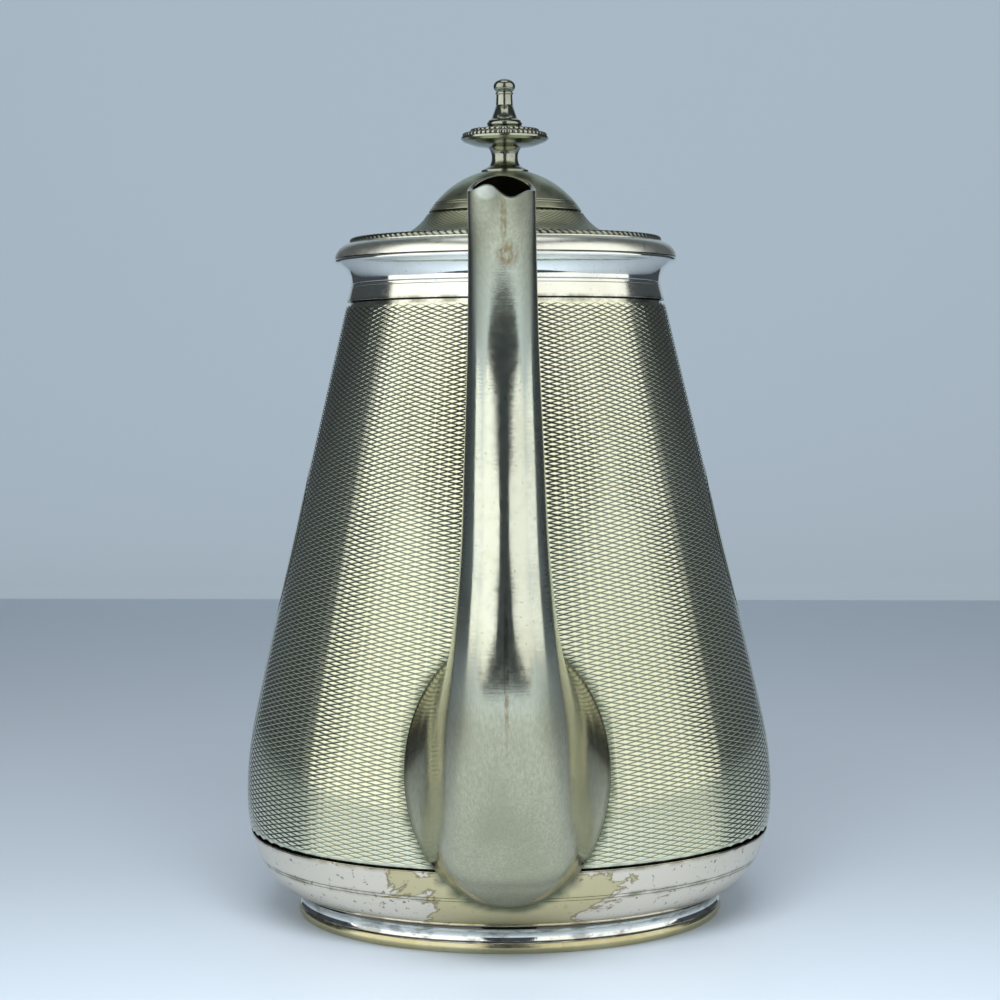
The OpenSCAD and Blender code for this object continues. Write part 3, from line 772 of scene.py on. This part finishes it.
def beaded(grid, grime_and_shade, centre, bead, count):
    """Changes a round moulding of radius bead about centre (r, z) into a row of beads, dark between them."""
    radius = np.hypot(grid[..., 0], grid[..., 1])
    phi = np.arctan2(grid[..., 1], grid[..., 0])
    off = np.stack([radius - centre[0], grid[..., 2] - centre[1]], axis=-1)
    on_moulding = np.abs(np.linalg.norm(off, axis=-1) - bead) < 0.05 * MM
    gap = np.where(on_moulding, 1 - np.sqrt(np.abs(np.cos(count * phi / 2))), 0)
    inwards = 0.5 * gap[..., None] * off
    grow = 1 - inwards[..., 0] / np.maximum(radius, 1e-6)
    moved = grid * np.stack([grow, grow, np.ones_like(grow)], axis=-1)
    moved[..., 2] -= inwards[..., 1]
    return moved, np.maximum(grime_and_shade, smooth_step(gap, 0.1, 0.6))


def make_finial():
    """Turned spool, beaded disc and knob on top of the dome."""
    low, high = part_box("finial_disc")
    # Radius and height of each row of beads, the radius of a bead, and how many there are
    rows = ((high.x - 1.1 * MM, low.z + 3.35 * MM, 0.65 * MM, 48),
            (high.x - 3.1 * MM, low.z + 4.5 * MM, 0.55 * MM, 36))

    def both_rows(grid, grime_and_shade):
        for r, z, bead, count in rows:
            grid, grime_and_shade = beaded(grid, grime_and_shade, (r, z), bead, count)
        return grid, grime_and_shade

    for name, node, relief, segments in (("finial_stem", "finial_spool", None, 96),
                                         ("finial_plate", "finial_disc", both_rows, 576),
                                         ("finial_knob", "finial_top", None, 96)):
        outer, inner = shell_sides(node)
        profile = plain_run(np.vstack([refined(outer, 0.2 * MM, 16), refined(inner, 0.8 * MM, 16)[1:-1]]))
        turned(name, profile, segments, FINIAL, "lid", waver=(0.03 * MM, 0.008, 7), relief=relief,
               replaces=(node,), slot="satin_silver")


# ---------------------------------------------------------------- spout

SPOUT_FRONT = np.array([
    (-76.8, 20.4), (-85, 27.6), (-98, 45.5), (-105.3, 68),
    (-107.6, 98), (-109.4, 128), (-113.5, 155), (-121, 176), (-129, 188.6)]) * MM
SPOUT_BACK = np.array([
    (-67, 82.5), (-70.3, 85.6), (-74.8, 90.3), (-78.6, 98.5),
    (-83, 113), (-88, 131), (-95.3, 154.5), (-104.5, 175.5), (-115, 192.8)]) * MM
SPOUT_HALF = np.array([22.3, 19, 15.9, 13, 10.7, 9.5, 8.4, 7.9, 7.7]) * MM
SPOUT_ROUND = np.array([0.55, 0.36, 0.4, 0.65, 0.95, 1, 1, 1, 1])
SPOUT_WALL = 1.1 * MM


def flange_ring(angle, wall, inset, rise):
    """Ring of the spout's oval flange, lying on the body's wall (r, z) and raised off it."""
    x = (FLANGE_HALF[0] - inset) * np.cos(angle)
    z = FLANGE_Z + (FLANGE_HALF[1] - inset) * np.sin(angle)
    radius = np.interp(z, wall[:, 1], wall[:, 0]) + rise
    return np.stack([x, -np.sqrt(radius**2 - x**2), z], axis=-1)


def spout_rings(t, angle, wall, inset):
    """Rings of the spout at stations t from the flange to the mouth, with the mouth's worn and bent lip."""
    middle, reach = (SPOUT_FRONT + SPOUT_BACK) / 2, (SPOUT_BACK - SPOUT_FRONT) / 2
    reach = reach * (1 - inset / np.linalg.norm(reach, axis=1))[:, None]
    power = np.where(np.sin(angle) < 0, SPOUT_ROUND[:, None], 1.0)
    x = (SPOUT_HALF - inset)[:, None] * np.sign(np.cos(angle)) * np.abs(np.cos(angle)) ** power
    y = middle[:, :1] + reach[:, :1] * np.sin(angle)
    z = middle[:, 1:] + reach[:, 1:] * np.sin(angle)
    stations = np.stack([x, y, z], axis=-1)
    first = flange_ring(angle, wall, inset + 0.4 * MM, FLANGE_RISE - inset)
    grid = spline(np.concatenate([first[None], stations]), t)
    x_mm = grid[..., 0] / MM
    near = smooth_step(t, len(stations) - 0.9, len(stations))[:, None]
    ahead = smooth_step(-np.sin(angle), 0.2, 0.8)
    behind = smooth_step(np.sin(angle), 0.3, 0.9)
    lip = 1.3 * bump_at(x_mm, -3.0, 2.6) - 1.7 * bump_at(x_mm, 2.2, 2.8)
    rise = ahead * lip + behind * 0.6 * bump_at(x_mm, 0, 3.0) - 1.3 * np.cos(angle) ** 4
    grid[..., 2] += near * rise * MM
    grid[..., 1] += near * ahead * 1.2 * MM * bump_at(x_mm, -3.4, 2.6)
    return grid


def make_spout():
    """Hollow spout with an oval flange on the body's wall, and with shallow dents."""
    sides, steps = 200, 240
    angle = np.arange(sides) * TAU / sides
    wall = refined(shell_sides("body_shell")[0], 1 * MM)
    t = np.linspace(0, len(SPOUT_FRONT), steps + 1)
    outer = spout_rings(t, angle, wall, 0.0)
    inner = spout_rings(t[::-4], angle, wall, SPOUT_WALL)
    lip = spout_rings(t[-1:], angle, wall, SPOUT_WALL / 2) + (0, -0.10 * MM, 0.18 * MM)
    sunk = -0.4 * MM
    base = [flange_ring(angle, wall, inset, rise) for inset, rise in (
        (0, sunk), (0, 0.25 * MM), (0.08 * MM, 0.45 * MM), (0.22 * MM, 0.65 * MM))]
    grid = np.vstack([base, outer, lip, inner, [flange_ring(angle, wall, SPOUT_WALL, sunk)]])
    clear = np.hypot(grid[..., 0], grid[..., 1]) - np.interp(grid[..., 2], wall[:, 1], wall[:, 0])
    grid[..., 1] -= 0.07 * MM * ripple(grid, 0.028, 11) * smooth_step(clear, 2 * MM, 8 * MM)
    # A dark joint line where the spout meets the body, and painted shade over the flange beside it
    seam_dirt = 1 - smooth_step(clear, 0, 0.6 * MM)
    spout_flange_shade = 0.4 - 0.4 * smooth_step(clear, 0.9 * MM, 1.7 * MM)
    grime_and_shade = np.maximum(seam_dirt, spout_flange_shade)
    new_piece("spout_tube", grid.reshape(-1, 3), grid_faces(len(grid), sides, closed=True), SATIN, "pot",
              replaces=("spout",), slot="satin_silver", grime_and_shade=grime_and_shade.reshape(-1), sharp=50)


# ---------------------------------------------------------------- handle

UPPER_AT, UPPER_SLOPE = np.array((60.5, 163.4)) * MM, math.radians(30)
LOWER_AT, LOWER_SLOPE = np.array((80.3, 66.2)) * MM, math.radians(42)
INSULATOR_HALF = 1.5 * MM
TENON = 7 * MM


def outwards(at, slope, distance):
    """Point on a handle joint's axis, at a distance outwards from its centre."""
    return at + distance * np.array((math.cos(slope), math.sin(slope)))


GRIP_LINE = np.array([
    outwards(UPPER_AT, UPPER_SLOPE, INSULATOR_HALF), outwards(UPPER_AT, UPPER_SLOPE, 9 * MM),
    (0.079, 0.170), (0.090, 0.1668), (0.099, 0.157), (0.1034, 0.141), (0.1026, 0.121),
    (0.0984, 0.101), (0.0916, 0.083),
    outwards(LOWER_AT, LOWER_SLOPE, 8 * MM), outwards(LOWER_AT, LOWER_SLOPE, INSULATOR_HALF)])
GRIP_HALF = np.array([5.6, 5.4, 5.7, 6, 6, 6, 6, 5.9, 5.6, 5.4, 5.6]) * MM
UPPER_LINE = np.array([
    (0.044, 0.1536), (0.0486, 0.156), outwards(UPPER_AT, UPPER_SLOPE, -8 * MM),
    outwards(UPPER_AT, UPPER_SLOPE, -INSULATOR_HALF)])
LOWER_LINE = np.array([
    (0.066, 0.0544), (0.070, 0.0574), outwards(LOWER_AT, LOWER_SLOPE, -8 * MM),
    outwards(LOWER_AT, LOWER_SLOPE, -INSULATOR_HALF)])
SOCKET_HALF = np.array([9, 6.6, 5.4, 5.6]) * MM


def swept(name, line, half, depth, steps, node, **piece):
    """Round bar swept along a line in the plane x = 0, with a raised ring at each end that meets bone."""
    sides = 64
    t = np.linspace(0, len(line) - 1, steps + 1)
    centre, width = spline(line, t), spline(half, t)
    ahead = spline(line, np.minimum(t + 0.002, len(line) - 1)) - spline(line, np.maximum(t - 0.002, 0))
    ahead /= np.linalg.norm(ahead, axis=1)[:, None]
    a = np.arange(sides) * TAU / sides
    e = depth * width[:, None] * np.sin(a)
    x = width[:, None] * np.cos(a)
    grid = np.stack([x, centre[:, :1] + ahead[:, 1:] * e, centre[:, 1:] - ahead[:, :1] * e], axis=-1)
    faces = grid_faces(len(grid), sides).tolist()
    faces += [list(range(sides)), list(range(steps * sides, (steps + 1) * sides))[::-1]]
    new_piece(name, grid.reshape(-1, 3), faces, HANDLE_METAL, "pot", replaces=(node,), slot="satin_silver",
              sharp=50, **piece)


def make_insulator(name, node, at, slope):
    """Bone disc with rounded edges and a tenon on each side."""
    edge = 0.9 * MM
    disc, tenon = 6.7 * MM, 3.4 * MM
    angle = np.linspace(-math.pi / 2, math.pi / 2, 13)
    rim = np.stack([disc - edge + edge * np.cos(angle),
                    np.sign(angle) * (INSULATOR_HALF - edge) + edge * np.sin(angle)], axis=-1)
    end = INSULATOR_HALF + TENON
    profile = np.vstack([(0, -end), (tenon, -end), (tenon, -INSULATOR_HALF), rim, (tenon, INSULATOR_HALF),
                         (tenon, end), (0, end)])
    place = Matrix.Translation((0, *at)) @ Matrix.Rotation(slope - math.pi / 2, 4, "X")
    turned(name, plain_run(profile), 72, BONE, "pot", waver=(0.03 * MM, 0.01, 9), replaces=(node,),
           slot="bone", place=place)


def make_handle():
    """Two sockets on the body, two bone insulators and the loop between them."""
    swept("handle_loop", GRIP_LINE, GRIP_HALF, 0.84, 160, "handle_grip")
    swept("handle_socket_upper", UPPER_LINE, SOCKET_HALF, 1.0, 40, "upper_handle_socket")
    swept("handle_socket_lower", LOWER_LINE, SOCKET_HALF, 1.0, 40, "lower_handle_socket")
    make_insulator("bone_disc_upper", "upper_insulator", UPPER_AT, UPPER_SLOPE)
    make_insulator("bone_disc_lower", "lower_insulator", LOWER_AT, LOWER_SLOPE)


# ---------------------------------------------------------------- CAD nodes that stay

def dress_nodes():
    """Materials and small bevels for the CAD nodes that stay visible."""
    materials = {
        "base_plate": INNER, "lid_bezel": INNER, "finial_stud": FINIAL, "finial_washer": INNER,
        "finial_nut": INNER, "upper_handle_pins": HANDLE_METAL, "lower_handle_pins": HANDLE_METAL,
        "hinge_body_leaf": POLISHED, "hinge_lid_leaf": POLISHED, "hinge_pin": POLISHED,
    }
    for node, material in materials.items():
        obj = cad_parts[node]
        obj.data.materials.clear()
        obj.data.materials.append(material)
        weld = obj.modifiers.new("weld", "WELD")
        weld.merge_threshold = 1e-6
        bevel = obj.modifiers.new("bevel", "BEVEL")
        bevel.width = 0.15 * MM
        bevel.segments = 2
        bevel.limit_method = "ANGLE"
        bevel.angle_limit = math.radians(40)


# ---------------------------------------------------------------- stage

def stage_material(name, colour, rough, glow=0.0):
    """Plain pale matt surface with a trace of unevenness; glow is light that it gives off itself."""
    material, tree, shader = new_material(name, 0.0)
    shader.inputs["Roughness"].default_value = rough
    shader.inputs["Specular IOR Level"].default_value = 0.25
    shader.inputs["Emission Color"].default_value = (*colour, 1)
    shader.inputs["Emission Strength"].default_value = glow
    value = ramp(tree, noise(tree, 6, detail=3), (0.3, 0), (0.7, 0.05))
    tree.links.new(blend(tree, value, colour, tuple(c * 0.8 for c in colour)), shader.inputs["Base Color"])
    return material


def quad(name, corners, material):
    """Flat part of the stage."""
    mesh = bpy.data.meshes.new(name)
    mesh.from_pydata(corners, [], [(0, 1, 2, 3)])
    mesh.materials.append(material)
    obj = bpy.data.objects.new(name, mesh)
    bpy.context.scene.collection.objects.link(obj)
    return obj


def area_light(name, place, target, size, radiance, colour=(1, 1, 1)):
    """Flat soft light that faces a target; radiance is its brightness as seen in a mirror."""
    light = bpy.data.lights.new(name, "AREA")
    light.shape = "RECTANGLE"
    light.size, light.size_y = size
    light.energy = radiance * math.pi * size[0] * size[1]
    light.color = colour
    obj = bpy.data.objects.new(name, light)
    obj.location = place
    obj.rotation_euler = (Vector(target) - Vector(place)).to_track_quat("-Z", "Y").to_euler()
    obj.visible_camera = False
    bpy.context.scene.collection.objects.link(obj)
    return obj


# The panel on the right: a point on it, the way it runs from front to back, and the way it faces
PANEL_AT = np.array((0.71, -0.43, 0.65))
PANEL_ALONG = np.array((0.514, 0.858, 0))
PANEL_FACING = np.array((-0.858, 0.514, 0))
PANEL_AHEAD = 0.82
PANEL_HEIGHT = 1.495


def make_stage():
    """Pale table with a dark strip at its front, soft grey backdrop, and a tall soft panel on each side."""
    table = stage_material("table", (0.59, 0.68, 0.785), 0.45)
    cloth = stage_material("backdrop", (0.28, 0.335, 0.385), 0.9, glow=0.85)
    front, back, slant, side_x = -0.36, 0.92, 0.085, 3
    quad("table_top", [(-side_x, front, 0), (side_x, front, 0), (side_x, back - side_x * slant, 0),
                       (-side_x, back + side_x * slant, 0)], table)
    shade = stage_material("shade", (0.04, 0.045, 0.05), 0.8)
    near, far = front - 0.01, -0.312
    quad("shade", [(-0.6, near, MM), (0.6, near, MM), (0.2, far, MM), (-0.2, far, MM)], shade)
    behind, half, bottom, top = back + 0.08, 0.45, -0.5, 1.6
    quad("backdrop", [(-half, behind, bottom), (half, behind, bottom), (half, behind, top),
                      (-half, behind, top)], cloth)
    for side, radiance, rear in ((-1, 1.34, 0.56), (1, 1.12, 0.74)):
        mirror = np.array((side, 1, 1))
        middle = mirror * (PANEL_AT + (rear - PANEL_AHEAD) / 2 * PANEL_ALONG)
        area_light(f"panel_{side}", middle, middle + mirror * PANEL_FACING,
                   (rear + PANEL_AHEAD, PANEL_HEIGHT), radiance, (1.0, 0.99, 0.96))
    area_light("overhead", (0, 0.1, 1.7), (0, 0, 0), (1.0, 0.8), 1.2)
    glare = area_light("table_light", (0, -0.36, 0.44), (0, -0.34, 0), (0.34, 0.2), 13.0)
    glare.visible_glossy = False
    world = bpy.data.worlds.new("room")
    world.use_nodes = True
    background = world.node_tree.nodes["Background"]
    background.inputs["Color"].default_value = (0.75, 0.86, 1.0, 1)
    background.inputs["Strength"].default_value = 0.07
    bpy.context.scene.world = world
    bpy.context.scene.view_settings.view_transform = "Standard"


def make_camera():
    """Camera level with the upper body, almost straight in front of the spout."""
    distance, height, azimuth = 0.665, 0.1473, math.radians(0.36)
    pitch, roll, yaw = math.radians(90 - 2.93), math.radians(0.40), azimuth + math.radians(0.15)
    data = bpy.data.cameras.new("camera")
    data.lens = 86.4
    camera = bpy.data.objects.new("camera", data)
    camera.location = (distance * math.sin(azimuth), -distance * math.cos(azimuth), height)
    camera.rotation_euler = (pitch, roll, yaw)
    bpy.context.scene.collection.objects.link(camera)
    bpy.context.scene.camera = camera


make_camera()
make_body()
make_turned_parts()
make_lid()
make_rope_border()
make_finial()
make_spout()
make_handle()
dress_nodes()
make_stage()

bpy.context.view_layer.update()
